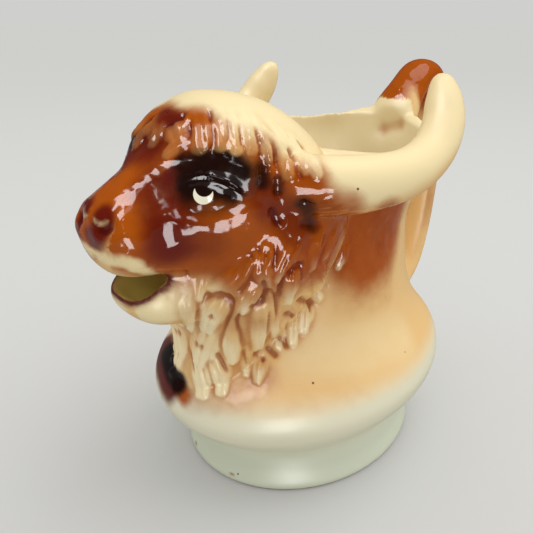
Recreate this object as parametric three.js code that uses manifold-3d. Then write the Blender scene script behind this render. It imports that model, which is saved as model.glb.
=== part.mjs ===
// A slip-cast, glazed cream pitcher in the form of a bison's head.
// Millimetres, +Z up. The muzzle points along -X, the handle along +X, and the origin is the
// middle of the oval foot's underside. The head is the same on both sides.

import * as THREE from 'three';
import { LoftGeometry } from 'three/addons/geometries/LoftGeometry.js';
import { mergeVertices } from 'three/addons/utils/BufferGeometryUtils.js';
import Module from 'manifold-3d';

const wasm = await Module();
wasm.setup();

// Vessel
const FOOT_LENGTH = 76;
const FOOT_WIDTH = 64;
const FOOT_EDGE = 0.6; // rounding of the foot's bottom edge
const WAIST_HEIGHT = 10.5; // the groove between foot and belly
const WAIST_LENGTH = 69;
const WAIST_WIDTH = 57.4;
const BELLY_HEIGHT = 25.6; // height of the widest line
const BELLY_LENGTH = 94.6;
const BELLY_WIDTH = 74;
const NECK_HEIGHT = 66; // height of the narrowest line above the belly
const NECK_LENGTH = 56;
const NECK_WIDTH = 45;
const NECK_SET_BACK = 5;
const RIM_HEIGHT = 85.6; // where the rim is lowest
const RIM_LENGTH = 47;
const RIM_WIDTH = 54;
const RIM_SET_BACK = 14.5;
const RIM_RISE_BACK = 6; // climb of the rim to the handle
const RIM_RISE_FRONT = 2; // and to the crown
const RIM_LEAN = 1.2; // the hand-trimmed rim is lower on -Y and higher on +Y by this much
const WALL = 3.6;
const RIM_WALL = 2.6;
const FLOOR = 6;

// Figure
const MUZZLE_REACH = 62.4; // nose, in front of the foot's middle
const CROWN_HEIGHT = 101.4;
const MANE_DROP = 16.4; // from the crown down to the mane's top
const MANE_BOTTOM = 28.5;
const HEAD_WALL = 4;
const MOUTH_WIDTH = 13;
const EYE_RADIUS = 3.3;
const LID_RADIUS = 0.9;
const NOSTRIL_RADIUS = 1.7;
const LOCK_HEIGHT = 1.5; // how far a lock of hair stands out
const FRINGE_LOCKS = 7; // on each side of the middle one
const FRINGE_LENGTH = 0.16; // share of the way from crown to nose

// Horns and handle
const HORN_RADIUS = 6.2;
const HORN_SPREAD = 32.8; // widest place of the middle line, from the middle plane
const HANDLE_WIDTH = 12;
const HANDLE_THICKNESS = 8;
const HANDLE_REACH = 59.4; // of the grip's middle line, behind the foot's middle
const HANDLE_HEIGHT = 100.4; // of the arch's middle line

// Facets
const BODY_SIDES = 40;
const HEAD_SIDES = 28;
const MANE_SIDES = 24;
const HORN_SIDES = 10;
const HANDLE_SIDES = 10;
const LOCK_SIDES = 5;
const HOLLOW_SIDES = 28;

const TURN = Math.PI * 2;
const DEGREE = Math.PI / 180;
const point = (x, y, z) => new THREE.Vector3(x, y, z);
const mix = (a, b, t) => a + (b - a) * t;
const clamp01 = (t) => Math.min(1, Math.max(0, t));
const ease = (t) => clamp01(t) ** 2 * (3 - 2 * clamp01(t));
const steps = (count) => Array.from({ length: count + 1 }, (_, i) => i / count);
const squared = (value, power) => Math.sign(value) * Math.abs(value) ** power;

// A smooth row of numbers between the rows of a table, at t from 0 to 1 along it.
function rowAt(rows, t) {
	const place = clamp01(t) * (rows.length - 1);
	const i = Math.min(Math.floor(place), rows.length - 2);
	const f = place - i;
	const at = (k) => rows[Math.min(Math.max(k, 0), rows.length - 1)];
	const [a, b, c, d] = [at(i - 1), at(i), at(i + 1), at(i + 2)];
	return b.map((_, k) => b[k] + 0.5 * f * (c[k] - a[k] +
		f * (2 * a[k] - 5 * b[k] + 4 * c[k] - d[k] + f * (3 * (b[k] - c[k]) + d[k] - a[k]))));
}

function ringOf(count, place) {
	return Array.from({ length: count }, (_, i) => place((i / count) * TURN));
}

// The solid that a closed geometry bounds.
function solid(geometry) {
	const bare = new THREE.BufferGeometry();
	bare.setAttribute('position', geometry.getAttribute('position'));
	bare.setIndex(geometry.getIndex());
	const merged = mergeVertices(bare, 1e-4);
	return new wasm.Manifold(new wasm.Mesh({
		numProp: 3,
		vertProperties: merged.attributes.position.array,
		triVerts: new Uint32Array(merged.index.array),
	}));
}

// A closed solid skinned over rings of points.
function loft(rings) {
	const middle = (ring) => ring.reduce((sum, p) => sum.add(p), point(0, 0, 0)).divideScalar(ring.length);
	const first = rings[0];
	const turn = first.reduce(
		(sum, p, i) => sum.add(p.clone().cross(first[(i + 1) % first.length])), point(0, 0, 0));
	const along = middle(rings[1]).sub(middle(first));
	const outward = turn.dot(along) > 0 ? rings : rings.map((ring) => [...ring].reverse());
	return solid(new LoftGeometry(outward, { capStart: true, capEnd: true }));
}

// A solid along a smooth path. Each row: x, y, z, half width across, half thickness.
function sweep(rows, sides, count, side) {
	return loft(steps(count).map((t) => {
		const [x, y, z, wide, thick] = rowAt(rows, t);
		const ahead = rowAt(rows, Math.min(t + 0.01, 1)), behind = rowAt(rows, Math.max(t - 0.01, 0));
		const tangent = point(ahead[0] - behind[0], ahead[1] - behind[1], ahead[2] - behind[2]).normalize();
		const across = side.clone().addScaledVector(tangent, -side.dot(tangent)).normalize();
		const out = tangent.clone().cross(across);
		return ringOf(sides, (angle) => point(x, y, z)
			.addScaledVector(across, wide * Math.cos(angle))
			.addScaledVector(out, thick * Math.sin(angle)));
	}));
}

const both = (one) => one.add(one.mirror([0, 1, 0]));

// Body. Each row: height, front reach, back reach, half width.
function between(low, high, shares) {
	return shares.map(([up, out]) => low.map((value, k) => mix(value, high[k], k === 0 ? up : out)));
}
const foot = [FOOT_EDGE * 2, -FOOT_LENGTH / 2, FOOT_LENGTH / 2, FOOT_WIDTH / 2];
const sole = [0, foot[1] + FOOT_EDGE, foot[2] - FOOT_EDGE, foot[3] - FOOT_EDGE];
const waist = [WAIST_HEIGHT, -WAIST_LENGTH / 2, WAIST_LENGTH / 2, WAIST_WIDTH / 2];
const belly = [BELLY_HEIGHT, -BELLY_LENGTH / 2, BELLY_LENGTH / 2, BELLY_WIDTH / 2];
const neck = [NECK_HEIGHT, NECK_SET_BACK - NECK_LENGTH / 2, NECK_SET_BACK + NECK_LENGTH / 2, NECK_WIDTH / 2];
const rim = [RIM_HEIGHT, RIM_SET_BACK - RIM_LENGTH / 2, RIM_SET_BACK + RIM_LENGTH / 2, RIM_WIDTH / 2];
const lowerRows = [
	sole, foot,
	...between(foot, waist, [[0.5, 0.62], [1, 1]]),
	...between(waist, belly, [[0.32, 0.42], [0.62, 0.8], [0.82, 0.955], [1, 1]]),
];
const bell = [[0.1, 0.06], [0.18, 0.2], [0.27, 0.42], [0.37, 0.63], [0.5, 0.8], [0.7, 0.93], [1, 1]];
const upperRows = [...between(belly, neck, bell), ...between(neck, rim, [[0.5, 0.4], [1, 1]])];

function bodyRing([z, front, back, half], inset = 0, sides = BODY_SIDES) {
	const share = ease((z - NECK_HEIGHT) / (RIM_HEIGHT - NECK_HEIGHT));
	const thin = mix(inset, Math.min(inset, RIM_WALL), share);
	return ringOf(sides, (angle) => {
		const climb = RIM_RISE_BACK * ease((Math.cos(angle) - 0.72) / 0.28) +
			RIM_RISE_FRONT * ease((0.8 - Math.cos(angle)) / 1.2) + RIM_LEAN * Math.sin(angle);
		return point(
			(front + back) / 2 + ((back - front) / 2 - thin) * Math.cos(angle),
			(half - thin) * Math.sin(angle),
			z + climb * share,
		);
	});
}
const body = loft([...lowerRows, ...upperRows].map((row) => bodyRing(row)));
const hollowBell = [...between(belly, neck, [[0.2, 0.25], [0.37, 0.63], [0.62, 0.9], [1, 1]]), rim];
const cavityFloor = [FLOOR, waist[1] + WALL, waist[2] - WALL, waist[3] - WALL];
const aboveRim = [rim[0] + 30, rim[1], rim[2], rim[3]];
const cavity = loft([cavityFloor, waist, ...between(waist, belly, [[0.5, 0.66], [1, 1]]), ...hollowBell, aboveRim]
	.map((row) => bodyRing(row, WALL, HOLLOW_SIDES)));

// Head, from the crown's back edge to the nose.
// Each row: top's x and z, underside's x and z, half width; x from the nose, z from the crown.
const headRows = [
	[54.4, -16.3, 53.4, -27.8, 14],
	[49.4, -8.4, 52.4, -33.8, 18],
	[42.4, -2.8, 49.4, -39.8, 21],
	[35.4, -0.3, 43.4, -42.8, 22.6],
	[28.4, 0, 35.4, -43.3, 22.4],
	[22.4, -2.8, 27.4, -42.8, 20.5],
	[17.9, -6.8, 21.9, -40.8, 17.5],
	[14.4, -10.4, 17.4, -38.3, 14.4],
	[10.8, -12.8, 13.4, -36.4, 12.2],
	[7.4, -14.8, 9.4, -34.8, 11],
	[4, -17, 5.4, -33.8, 10.2],
	[1.2, -19.6, 2, -32, 8.4],
	[0, -22.4, 0.2, -28.4, 4.8],
];
function tubePoint(rows, t, angle, inset = 0) {
	const [topX, topZ, lowX, lowZ, half] = rowAt(rows, t);
	const top = point(topX - MUZZLE_REACH, 0, topZ + CROWN_HEIGHT);
	const low = point(lowX - MUZZLE_REACH, 0, lowZ + CROWN_HEIGHT);
	const up = top.clone().sub(low).multiplyScalar(0.5);
	up.setLength(Math.max(up.length() - inset, 0.5));
	return top.add(low).multiplyScalar(0.5)
		.addScaledVector(up, squared(Math.cos(angle), 0.9))
		.add(point(0, Math.max(half - inset, 0.5) * squared(Math.sin(angle), 0.9), 0));
}
const headPoint = (t, angle, inset) => tubePoint(headRows, t, angle, inset);
const headRing = (t, inset, sides = HEAD_SIDES) => ringOf(sides, (angle) => headPoint(t, angle, inset));
const head = loft(steps(17).map((t) => headRing(t)));
const headHollow = loft(steps(7).map((t) => headRing(mix(0.05, 0.9, t), HEAD_WALL, 18)));

// Lower jaw, an open scoop that pours. Rows as the head's.
const jawRows = [
	[27, -25.4, 28, -51.4, 13.5],
	[19.5, -27, 20, -50, 12],
	[13.4, -31, 13.4, -48.2, 10],
	[8.9, -34.6, 8.9, -46.2, 8.8],
	[6.2, -36.4, 6.2, -44, 6.8],
	[4.6, -37.8, 4.6, -42, 4.2],
];
const jaw = loft(steps(7).map((t) => ringOf(16, (angle) => tubePoint(jawRows, t, angle))));
const mouthRows = [
	[30, -19.4, 30, -45.4, MOUTH_WIDTH * 0.75],
	[19, -27.4, 18, -42.4, MOUTH_WIDTH * 0.66],
	[12.4, -30.6, 12, -41.8, MOUTH_WIDTH * 0.58],
	[8.4, -33.8, 8.4, -41.4, MOUTH_WIDTH * 0.5],
	[5.4, -34, 5.4, -39.4, MOUTH_WIDTH * 0.42],
	[0, -33, 0, -37, MOUTH_WIDTH * 0.42],
];
const mouth = loft(steps(6).map((t) => ringOf(14, (angle) => tubePoint(mouthRows, t, angle))));

// Mane and beard. Each row: share of the height, front reach, back reach, half width.
const maneRows = [
	[-43.5, -34, 5],
	[-42.8, -24, 10],
	[-41.6, -19, 13],
	[-42.4, -13, 17],
	[-45, -8, 21],
	[-46, -4, 24],
	[-45, -2, 25.5],
	[-41, -4, 25.5],
	[-36, -10, 21],
];
function manePoint(t, angle, inset = 0) {
	const [front, back, half] = rowAt(maneRows, t);
	return point(
		(front + back) / 2 + ((back - front) / 2 - inset) * squared(Math.cos(angle), 0.85),
		(half - inset) * squared(Math.sin(angle), 0.85),
		mix(MANE_BOTTOM, CROWN_HEIGHT - MANE_DROP, t),
	);
}
const mane = loft(steps(10).map((t) => ringOf(MANE_SIDES, (angle) => manePoint(t, angle))));
const maneHollow = loft(steps(4).map((t) =>
	ringOf(16, (angle) => manePoint(mix(0.22, 0.95, t), angle, HEAD_WALL + 0.8))));

// A lock of hair lying on a surface, from one place on it to another, fullest past its middle.
function lock(surface, from, to, wide, wave = 0) {
	const place = (s) => surface(
		mix(from[0], to[0], s),
		mix(from[1], to[1], s) + wave * Math.sin(s * Math.PI * 1.5));
	const skin = (t, angle) => {
		const here = surface(t, angle);
		return surface(t + 0.01, angle).sub(here).cross(surface(t, angle + 0.02).sub(here)).normalize();
	};
	return loft(steps(3).map((s) => {
		const here = place(s);
		const tangent = place(Math.min(s + 0.05, 1)).sub(place(Math.max(s - 0.05, 0))).normalize();
		const normal = skin(mix(from[0], to[0], s), mix(from[1], to[1], s));
		if (normal.dot(here.clone().sub(point(-20, 0, here.z))) < 0) normal.negate();
		const across = tangent.clone().cross(normal).normalize();
		const full = [0.45, 1, 0.86, 0.14][Math.round(s * 3)];
		const rise = LOCK_HEIGHT * [0, 0.9, 1.1, 0.35][Math.round(s * 3)];
		const centre = here.addScaledVector(normal, rise - LOCK_HEIGHT);
		return ringOf(LOCK_SIDES, (angle) => centre.clone()
			.addScaledVector(across, 0.5 * wide * full * Math.cos(angle))
			.addScaledVector(normal, LOCK_HEIGHT * Math.sin(angle)));
	}));
}

// Fringe: locks that fall forward from the crown over the brow, in an arc from horn to horn.
const fringe = [];
for (let i = 0; i <= FRINGE_LOCKS; i ++) {
	const angle = -76 * DEGREE * (i / FRINGE_LOCKS);
	const tip = 0.57 - 0.25 * (i / FRINGE_LOCKS) ** 1.4;
	const one = lock(headPoint, [tip - FRINGE_LENGTH, angle * 0.72], [tip, angle], 7.4);
	fringe.push(i === 0 ? one : both(one));
}

// Mane: rows of locks. Each row: height of the roots, height of the tips, first and last angle
// from the mane's back, number of locks, width of a lock.
const lockRows = [
	[0.9, 0.68, 86, 118, 3, 6.2],
	[0.76, 0.52, 82, 158, 5, 6.6],
	[0.61, 0.34, 82, 166, 6, 6],
	[0.42, 0.13, 88, 170, 5, 5.8],
	[0.22, 0.02, 112, 178, 2, 5.6],
];
const hair = [[0.5, 0.32], [0.35, 0.16], [0.2, 0.02]].map(([root, tip]) =>
	lock(manePoint, [root, Math.PI], [tip, Math.PI], 5.6));
lockRows.forEach(([root, tip, first, last, count, wide], row) => {
	for (let i = 0; i < count; i ++) {
		const angle = -mix(first, last, (i + (row % 2) * 0.35) / count) * DEGREE;
		const one = lock(manePoint, [root, angle + 0.1], [tip, angle - 0.02], wide, 0.09);
		hair.push(both(one));
	}
});

// Eyes, upper lids and nostrils
const eyePlace = headPoint(0.565, -66 * DEGREE);
const eyeOut = eyePlace.clone().sub(headPoint(0.565, -66 * DEGREE, 4)).normalize();
function ball(centre, radius, squash, axis) {
	const sphere = new THREE.SphereGeometry(radius, 12, 6);
	sphere.scale(1, squash, 1);
	sphere.applyQuaternion(new THREE.Quaternion().setFromUnitVectors(point(0, 1, 0), axis));
	sphere.translate(centre.x, centre.y, centre.z);
	return solid(sphere);
}
const eyeball = ball(eyePlace.clone().addScaledVector(eyeOut, -0.7), EYE_RADIUS, 0.55, eyeOut);
const lidPlaces = [[0.645, -60], [0.6, -57.5], [0.55, -57.5], [0.5, -62], [0.455, -69.5]];
const lid = sweep(lidPlaces.map(([t, angle], i) => {
	const p = headPoint(t, angle * DEGREE);
	const size = LID_RADIUS * [0.4, 1, 1.1, 1, 0.4][i];
	return [p.x, p.y, p.z, size, size];
}), 6, 7, point(0, 0, 1));
const nostrilPlace = headPoint(0.945, -62 * DEGREE);
const nostrilOut = nostrilPlace.clone().sub(headPoint(0.945, -62 * DEGREE, 4)).normalize();
const nostril = ball(nostrilPlace, NOSTRIL_RADIUS, 0.7, nostrilOut);

// Horns, from the temples back, out and up. Each row: x, share of the spread, height from the
// crown, share of the radius.
const hornRows = [
	[-33, 0.27, -16.4, 0.85],
	[-27, 0.6, -16.8, 0.98],
	[-17.5, 0.83, -17.5, 1],
	[-6, 0.982, -16.5, 0.88],
	[3.5, 1, -13.4, 0.81],
	[9.2, 0.97, -8.4, 0.77],
	[12, 0.909, -3.4, 0.68],
	[13.2, 0.86, 0.2, 0.48],
	[13.6, 0.841, 1.8, 0.32],
	[13.7, 0.835, 2.6, 0.13],
].map(([x, out, z, size]) =>
	[x, out * HORN_SPREAD, z + CROWN_HEIGHT, size * HORN_RADIUS, size * HORN_RADIUS]);
const horn = sweep(hornRows, HORN_SIDES, 15, point(-0.5, 0, 1));

// Handle, from the rim up, over and down to the belly's back. Each row: share of the way from its
// roots to its reach, share of the way up from the lower root to the top, width, thickness.
const ROOT_LOW = [BELLY_LENGTH / 2 - 3.3, BELLY_HEIGHT + 5.4];
const ROOT_HIGH = [RIM_SET_BACK + RIM_LENGTH / 2 - 5, RIM_HEIGHT - 11.6];
const handleRows = [
	[0, 0, 1.5, 0.25],
	[0.1, 0.34, 1.45, 0.7],
	[0.235, 0.625, 1.28, 1],
	[0.44, 0.833, 1.05, 1.04],
	[0.69, 1, 1, 1.02],
	[0.893, 0.856, 1, 1],
	[0.977, 0.49, 1, 1],
].map(([out, up, wide, thick]) =>
	[mix(ROOT_HIGH[0], HANDLE_REACH, out), mix(ROOT_HIGH[1], HANDLE_HEIGHT, up), wide, thick]);
handleRows.push(...[
	[1, 0.62, 1, 1],
	[0.974, 0.418, 1, 1],
	[0.87, 0.245, 1.03, 1.05],
	[0.584, 0.094, 1.13, 1.15],
	[0, 0, 1.33, 1.35],
].map(([out, up, wide, thick]) =>
	[mix(ROOT_LOW[0], HANDLE_REACH, out), mix(ROOT_LOW[1], HANDLE_HEIGHT, up), wide, thick]));
const handlePath = handleRows.map(([x, z, wide, thick]) =>
	[x, 0, z, wide * HANDLE_WIDTH / 2, thick * HANDLE_THICKNESS / 2]);
const handle = sweep(handlePath, HANDLE_SIDES, 20, point(0, 1, 0));

const outside = [head, jaw, mane, both(horn), handle, ...fringe, ...hair, both(eyeball), both(lid)]
	.reduce((sum, one) => sum.add(one), body);
const pitcher = outside.subtract(cavity).subtract(headHollow).subtract(maneHollow)
	.subtract(mouth).subtract(both(nostril))
	.decompose().sort((a, b) => b.volume() - a.volume())[0];

function meshOf(name, made, material) {
	const { vertProperties, triVerts } = made.getMesh();
	const geometry = new THREE.BufferGeometry();
	geometry.setAttribute('position', new THREE.BufferAttribute(vertProperties, 3));
	geometry.setIndex(new THREE.BufferAttribute(triVerts, 1));
	geometry.computeVertexNormals();
	const mesh = new THREE.Mesh(geometry, material);
	mesh.name = name;
	return mesh;
}

const glaze = new THREE.MeshStandardMaterial({ color: 0xd9ab6e, roughness: 0.15, metalness: 0 });
const group = new THREE.Group();
group.add(meshOf('pitcher', pitcher, glaze));

export default group;
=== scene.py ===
from math import pi, radians

import bpy
import numpy as np
from bpy.props import FloatProperty, FloatVectorProperty, IntProperty, PointerProperty
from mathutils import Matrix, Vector
from mathutils.bvhtree import BVHTree


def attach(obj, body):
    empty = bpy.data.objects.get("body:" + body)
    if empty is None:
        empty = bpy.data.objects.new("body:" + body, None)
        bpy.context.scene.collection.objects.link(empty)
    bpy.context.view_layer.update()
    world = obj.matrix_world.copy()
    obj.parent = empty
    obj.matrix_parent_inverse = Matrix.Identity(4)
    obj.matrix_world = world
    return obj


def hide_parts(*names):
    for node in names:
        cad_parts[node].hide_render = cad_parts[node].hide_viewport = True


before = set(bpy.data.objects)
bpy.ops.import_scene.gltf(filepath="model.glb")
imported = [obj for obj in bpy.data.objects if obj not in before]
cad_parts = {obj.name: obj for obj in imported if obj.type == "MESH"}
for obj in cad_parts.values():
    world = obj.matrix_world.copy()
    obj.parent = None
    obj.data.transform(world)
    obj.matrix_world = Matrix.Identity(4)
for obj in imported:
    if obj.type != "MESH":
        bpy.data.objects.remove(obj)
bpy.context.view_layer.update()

bl_info = {
    "name": "Figural Cream Pitcher",
    "version": (1, 0, 0),
    "blender": (4, 5, 0),
    "location": "View3D > Sidebar > Pitcher",
    "description": "Dresses the packed pitcher as hand-carved, glazed ceramic",
    "category": "Object",
}

MM = 0.001
FINE, COARSE = 0.00045, 0.0008
INNER_CORNER, OUTER_CORNER = 0.00003, 0.00005
PICTURE, SENSOR = 533, 36
EYE_POINT = Vector((-0.10246, -0.09030, 0.11398))
EYE_BACK = Vector((-0.62979, -0.65217, 0.42195))


# Settings

class PitcherShape(bpy.types.PropertyGroup):
    grain: FloatProperty(name="Grain", description="Cell of the working mesh", default=FINE,
                         unit="LENGTH", min=0.0002)
    limit: IntProperty(name="Triangles", description="Most triangles of the finished casting",
                       default=194000)
    fillet: IntProperty(name="Fillet", description="Softening passes in inside corners", default=26)


class PitcherGlaze(bpy.types.PropertyGroup):
    tan: FloatVectorProperty(name="Tan", description="Upper body", subtype="COLOR",
                             default=(0.78, 0.51, 0.21))
    cream: FloatVectorProperty(name="Cream", description="Crown, horns and lock tips",
                               subtype="COLOR", default=(0.86, 0.71, 0.40))
    pale: FloatVectorProperty(name="Pale", description="Belly band and beard", subtype="COLOR",
                              default=(0.74, 0.71, 0.53))
    celadon: FloatVectorProperty(name="Celadon", description="Foot", subtype="COLOR",
                                 default=(0.60, 0.64, 0.50))
    rust: FloatVectorProperty(name="Rust", description="Bridge, mane and handle", subtype="COLOR",
                              default=(0.38, 0.075, 0.001))
    # Maroon also paints the belly beyond the beard, darkened there with painted shade
    maroon: FloatVectorProperty(name="Maroon", description="Cheek and muzzle side",
                                subtype="COLOR", default=(0.13, 0.007, 0.001))
    # Umber also paints the shade under the brow and on the belly beyond the beard
    umber: FloatVectorProperty(name="Umber", description="Brow and eye", subtype="COLOR",
                               default=(0.012, 0.002, 0.0006))
    olive: FloatVectorProperty(name="Olive", description="Inside of the mouth", subtype="COLOR",
                               default=(0.62, 0.46, 0.11))
    fringe: FloatVectorProperty(name="Fringe", description="Locks on the brow", subtype="COLOR",
                                default=(0.70, 0.40, 0.14))
    clay: FloatVectorProperty(name="Clay", description="Bare clay under the foot",
                              subtype="COLOR", default=(0.30, 0.19, 0.10))
    beard: FloatVectorProperty(name="Beard", description="Tips of the locks", subtype="COLOR",
                               default=(0.88, 0.74, 0.46))
    eye: FloatVectorProperty(name="Eye", description="White of the eye", subtype="COLOR",
                             default=(0.95, 0.91, 0.70))
    band: FloatProperty(name="Band", description="Height where the tan ends on the belly",
                        default=0.0312, unit="LENGTH")


class PitcherStudio(bpy.types.PropertyGroup):
    lens: FloatProperty(name="Lens", description="Focal length in millimetres", default=35.12)
    floor: FloatVectorProperty(name="Floor", description="Paper the pitcher stands on",
                               subtype="COLOR", default=(0.46, 0.46, 0.45))
    # The glow is a painted glow in the paper that lightens the shade on it
    glow: FloatProperty(name="Glow", description="Light that shines through the paper",
                        default=0.1)
    sky: FloatProperty(name="Skylight", description="Strength of the soft light from the right",
                       default=0.85)
    panes: FloatProperty(name="Panes", description="Strength of the windows that the glaze mirrors",
                         default=1.0)
    room: FloatProperty(name="Room light", description="Even light from all round", default=0.93)
    gloom: FloatProperty(name="Gloom", description="The dim room that the glaze mirrors",
                         default=0.06)
    horizon: FloatProperty(name="Horizon", description="Brightness where the paper ends",
                           default=0.625)


# Small helpers

def select_only(piece=None):
    if bpy.context.object and bpy.context.object.mode != "OBJECT":
        bpy.ops.object.mode_set(mode="OBJECT")
    bpy.ops.object.select_all(action="DESELECT")
    if piece is not None:
        piece.select_set(True)
        bpy.context.view_layer.objects.active = piece


def apply_modifier(piece, kind, **settings):
    select_only(piece)
    bpy.ops.object.modifier_add(type=kind)
    made = piece.modifiers[-1]
    for key, value in settings.items():
        setattr(made, key, value)
    bpy.ops.object.modifier_apply(modifier=made.name)


def points_of(piece, what="co"):
    flat = np.empty(len(piece.data.vertices) * 3, np.float32)
    piece.data.vertices.foreach_get(what, flat)
    return flat.reshape(-1, 3).astype(float)


def normals_of(piece):
    return points_of(piece, "normal")


def tree_of(piece):
    return BVHTree.FromPolygons([tuple(p) for p in points_of(piece)],
                                [tuple(f.vertices) for f in piece.data.polygons])


def move_points(piece, points):
    piece.data.vertices.foreach_set("co", points.astype(np.float32).ravel())
    piece.data.update()


def smooth_step(low, high, value):
    t = np.clip((value - low) / (high - low), 0, 1)
    return t * t * (3 - 2 * t)


def rows_at(rows, places):
    """Smooth rows of numbers between the rows of a table, at places from 0 to 1 along it."""
    rows = np.asarray(rows, float)
    place = np.clip(places, 0, 1) * (len(rows) - 1)
    i = np.minimum(place.astype(int), len(rows) - 2)
    f = (place - i)[:, None]
    a, b, c, d = (rows[np.clip(i + k, 0, len(rows) - 1)] for k in (-1, 0, 1, 2))
    return b + 0.5 * f * (c - a + f * (2 * a - 5 * b + 4 * c - d + f * (3 * (b - c) + d - a)))


def by_height(rows, heights):
    """The same, but by the first number of each row, and without overshoot."""
    rows = np.asarray(rows, float)
    z = rows[:, 0]
    slope = np.diff(rows, axis=0) / np.diff(z)[:, None]
    tangent = np.zeros_like(rows)
    tangent[1:-1] = np.where(slope[1:] * slope[:-1] > 0,
                             2 * slope[1:] * slope[:-1] / (slope[1:] + slope[:-1] + 1e-12), 0)
    tangent[0], tangent[-1] = slope[0], slope[-1]
    i = np.clip(np.searchsorted(z, heights) - 1, 0, len(z) - 2)
    h = (z[i + 1] - z[i])
    f = ((heights - z[i]) / h)[:, None]
    h = h[:, None]
    return ((1 + 2 * f) * (1 - f) ** 2 * rows[i] + f * (1 - f) ** 2 * h * tangent[i]
            + f * f * (3 - 2 * f) * rows[i + 1] + f * f * (f - 1) * h * tangent[i + 1])


def skinned(name, rings):
    """A closed form from a grid rolled up over rings of points, in millimetres."""
    rows, sides = rings.shape[:2]
    select_only()
    bpy.ops.mesh.primitive_grid_add(x_subdivisions=sides, y_subdivisions=rows - 1, size=1,
                                    location=(0, 0, 0))
    piece = bpy.context.active_object
    piece.name = name
    rolled = np.concatenate([rings, rings[:, :1]], axis=1).reshape(-1, 3) * MM
    if len(rolled) != len(piece.data.vertices):
        raise RuntimeError(name + " has another number of points than its grid")
    move_points(piece, rolled)
    bpy.ops.object.mode_set(mode="EDIT")
    bpy.ops.mesh.select_all(action="SELECT")
    bpy.ops.mesh.remove_doubles(threshold=1e-7)
    bpy.ops.mesh.select_all(action="SELECT")
    bpy.ops.mesh.fill_holes(sides=0)
    bpy.ops.mesh.normals_make_consistent(inside=False)
    bpy.ops.object.mode_set(mode="OBJECT")
    return piece


def cell(shape):
    return shape.grain


def ring_angles(sides):
    return np.arange(sides) / sides * 2 * pi


# Body and its hollow

def between(low, high, shares):
    return [[a + (b - a) * (up if k == 0 else out) for k, (a, b) in enumerate(zip(low, high))]
            for up, out in shares]


RIM_HEIGHT, RIM_LEAN = 85.6, 1.2
WALL, RIM_WALL, HEAD_WALL, MANE_WALL, FLOOR = 3.6, 2.6, 4, 4.8, 6
# Each row of the body: height, front, back, half width, in millimetres.
SOLE, FOOT = [0, -37.4, 37.4, 31.4], [1.2, -38, 38, 32]
WAIST, BELLY = [10.5, -34.5, 34.5, 28.7], [25.6, -47.3, 47.3, 37]
NECK, RIM = [66, -23, 33, 22.5], [RIM_HEIGHT, -9, 38, 27]
BELL = [[0.1, 0.06], [0.18, 0.2], [0.27, 0.42], [0.37, 0.63], [0.5, 0.8], [0.7, 0.93], [1, 1]]
OUTER = [SOLE, FOOT, *between(FOOT, WAIST, [[0.5, 0.62], [1, 1]]),
         *between(WAIST, BELLY, [[0.32, 0.42], [0.62, 0.8], [0.82, 0.955], [1, 1]]),
         *between(BELLY, NECK, BELL), *between(NECK, RIM, [[0.5, 0.4], [1, 1]])]


def rim_climb(turn):
    """How far the rim rises over its lowest point, by the cosine of the angle round it."""
    return 6 * smooth_step(0.72, 1, turn) + 2 * smooth_step(0, 1.2, 0.8 - turn)


def body_rings(rows, heights, inset, sides):
    z, front, back, half = by_height(rows, heights).T[:, :, None]
    angle = ring_angles(sides)[None]
    share = smooth_step(NECK[0], RIM_HEIGHT, z)
    thin = inset + (min(inset, RIM_WALL) - inset) * share
    climb = rim_climb(np.cos(angle)) + RIM_LEAN * np.sin(angle)
    x = (front + back) / 2 + ((back - front) / 2 - thin) * np.cos(angle)
    y = (half - thin) * np.sin(angle)
    return np.stack([x, y, z + climb * share], axis=-1)


# Head, jaw and mane

# Each row of the head, jaw and mouth: top x and z, low x and z, half width, in millimetres. x is
# measured from the muzzle's tip and z from the crown's height.
MUZZLE_TIP, CROWN_HEIGHT = -62.4, 101.4
HEAD = [[54.4, -16.3, 53.4, -27.8, 14], [49.4, -8.4, 52.4, -33.8, 18],
        [42.4, -2.8, 49.4, -39.8, 21], [35.4, -0.3, 43.4, -42.8, 22.6],
        [28.4, 0, 35.4, -43.3, 22.4], [22.4, -2.8, 27.4, -42.8, 20.5],
        [17.9, -6.8, 21.9, -40.8, 17.5], [14.4, -10.4, 17.4, -38.3, 14.4],
        [10.8, -12.8, 13.4, -36.4, 12.2], [7.4, -14.8, 9.4, -34.8, 11], [4, -17, 5.4, -33.8, 10.2],
        [1.2, -19.6, 2, -32, 8.4], [0, -22.4, 0.2, -28.4, 4.8]]
JAW = [[27, -25.4, 28, -51.4, 13.5], [19.5, -27, 20, -50, 12], [13.4, -31, 13.4, -48.2, 10],
       [8.9, -34.6, 8.9, -46.2, 8.8], [6.2, -36.4, 6.2, -44, 6.8], [4.6, -37.8, 4.6, -42, 4.2]]
MOUTH = [[30, -19.4, 30, -45.4, 9.75], [19, -27.4, 18, -42.4, 8.6], [12.4, -30.6, 12, -41.8, 7.6],
         [8.4, -33.8, 8.4, -41.4, 6.5], [5.4, -34, 5.4, -39.4, 5.5], [0, -33, 0, -37, 5.5]]
# Each row of the mane, going up: front, back, half width.
MANE_LOW, MANE_HEIGHT = 28.5, 56.5
MANE = [[-43.5, -34, 5], [-42.8, -24, 10], [-41.6, -19, 13], [-42.4, -13, 17], [-45, -8, 21],
        [-46, -4, 24], [-45, -2, 25.5], [-41, -4, 25.5], [-36, -10, 21]]


def squared(value, power):
    return np.sign(value) * np.abs(value) ** power


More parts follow.
